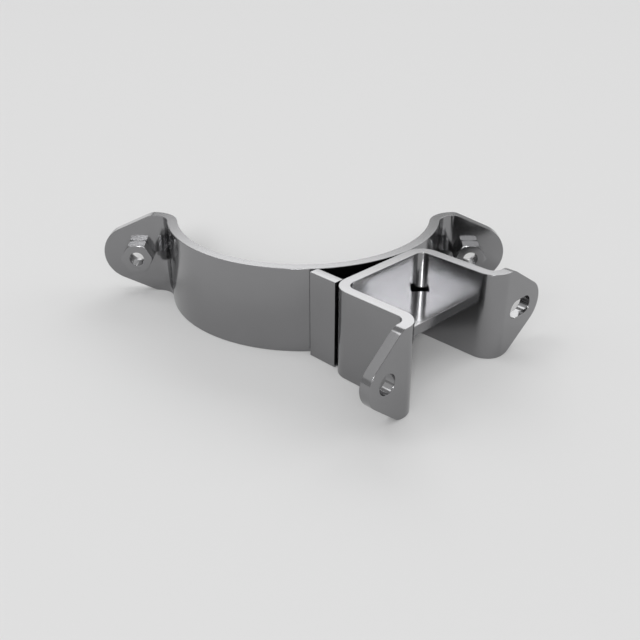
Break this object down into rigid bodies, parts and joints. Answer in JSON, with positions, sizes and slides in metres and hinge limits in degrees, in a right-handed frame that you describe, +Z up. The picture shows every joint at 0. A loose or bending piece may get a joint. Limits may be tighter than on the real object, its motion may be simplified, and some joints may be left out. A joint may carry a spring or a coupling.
{
  "type": "mounting bracket",
  "caption": "Steel half clamp for a round pole, carrying an angled U-shaped channel whose outturned ears have a round hole and a level slot.",
  "frame": {"origin": "on the pole's axis, at the level of the bracket's lower edges", "axes": "+Z up along the pole; -Y from the pole's axis to the middle of the half ring; +X along the tabs, towards the ear with the slot"},
  "size_m": [0.2532, 0.1632, 0.05],
  "materials": {
    "steel": "smooth, dark and glossy",
    "zinc": "bright zinc plate"
  },
  "bodies": {
    "root": {"pole_band": "steel", "nut_left": "zinc", "nut_right": "zinc", "channel": "steel", "web_plate": "steel", "spacer_plate": "steel"}
  },
  "joints": []
}
